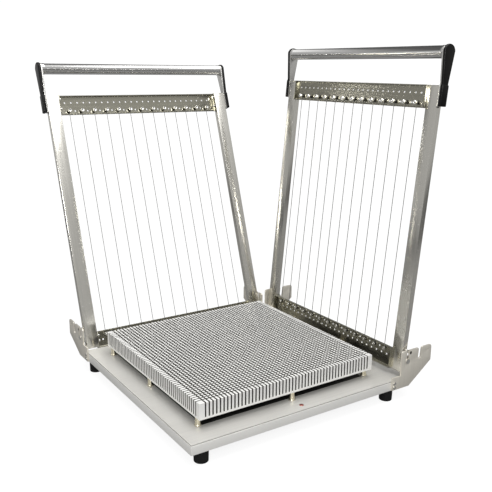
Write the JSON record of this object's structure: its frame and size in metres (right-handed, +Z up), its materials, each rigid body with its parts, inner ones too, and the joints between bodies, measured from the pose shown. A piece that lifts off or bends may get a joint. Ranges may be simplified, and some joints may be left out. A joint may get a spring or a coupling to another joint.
{
  "type": "double-arm wire food cutter",
  "caption": "Table-top wire cutter: slotted metal platen on a square footed base, with two hinged frames of parallel strings that swing down through the slots.",
  "frame": {"origin": "centre of the flat underside of the base's bottom cover; the feet reach 24 mm below it", "axes": "+Z up; +X towards the side where the right arm hinges; +Y towards the side where the left arm hinges"},
  "size_m": [0.5708, 0.7059, 0.6972],
  "materials": {
    "base_aluminium": "brushed",
    "skirt_aluminium": "brushed",
    "platen_aluminium": "machined",
    "cheek_steel": "brushed",
    "rail_steel": "polished",
    "bar_steel": "polished",
    "fitting_steel": "satin",
    "handle_steel": "satin",
    "string_steel": "drawn",
    "screw_steel": "satin",
    "black_plastic": "satin",
    "foot_rubber": "matte",
    "standoff_brass": "turned",
    "plug_copper": "satin"
  },
  "bodies": {
    "base": {"base_top": "base_aluminium", "base_skirt": "skirt_aluminium", "base_bottom": "skirt_aluminium", "foot_front_left": "foot_rubber", "foot_front_right": "foot_rubber", "foot_back_left": "foot_rubber", "foot_back_right": "foot_rubber", "foot_screws": "screw_steel", "platen": "platen_aluminium", "platen_standoffs": "standoff_brass", "platen_screws": "screw_steel", "left_near_cheek": "cheek_steel", "left_far_cheek": "cheek_steel", "right_near_cheek": "cheek_steel", "right_far_cheek": "cheek_steel", "cheek_screws": "screw_steel", "stop_pins": "fitting_steel", "hole_plug": "plug_copper"},
    "left_arm": {"left_near_rail": "rail_steel", "left_far_rail": "rail_steel", "left_tension_bar": "bar_steel", "left_anchor_bar": "bar_steel", "left_near_pivot": "fitting_steel", "left_far_pivot": "fitting_steel", "left_pivot_screws": "screw_steel", "left_handle_tube": "handle_steel", "left_handle_plugs": "black_plastic", "left_handle_bolts": "screw_steel", "left_near_bracket": "fitting_steel", "left_far_bracket": "fitting_steel", "left_near_cover": "black_plastic", "left_far_cover": "black_plastic", "left_cover_screws": "screw_steel", "left_strings": "string_steel", "left_string_anchors": "screw_steel", "left_tension_screws": "screw_steel", "left_tension_nuts": "screw_steel", "left_frame_screws": "screw_steel"},
    "right_arm": {"right_near_rail": "rail_steel", "right_far_rail": "rail_steel", "right_tension_bar": "bar_steel", "right_anchor_bar": "bar_steel", "right_near_pivot": "fitting_steel", "right_far_pivot": "fitting_steel", "right_pivot_screws": "screw_steel", "right_handle_tube": "handle_steel", "right_handle_plugs": "black_plastic", "right_handle_bolts": "screw_steel", "right_near_bracket": "fitting_steel", "right_far_bracket": "fitting_steel", "right_near_cover": "black_plastic", "right_far_cover": "black_plastic", "right_cover_screws": "screw_steel", "right_strings": "string_steel", "right_string_anchors": "screw_steel", "right_tension_screws": "screw_steel", "right_tension_nuts": "screw_steel", "right_frame_screws": "screw_steel"}
  },
  "joints": [
    {"name": "left_arm_hinge", "type": "hinge", "parent": "base", "child": "left_arm", "pos_m": [0, 0.2615, 0.0435], "axis": [1, 0, 0], "range_deg": [0, 108.7]},
    {"name": "right_arm_hinge", "type": "hinge", "parent": "base", "child": "right_arm", "pos_m": [0.261, 0, 0.055], "axis": [0, 1, 0], "range_deg": [-95.4, 0]}
  ]
}
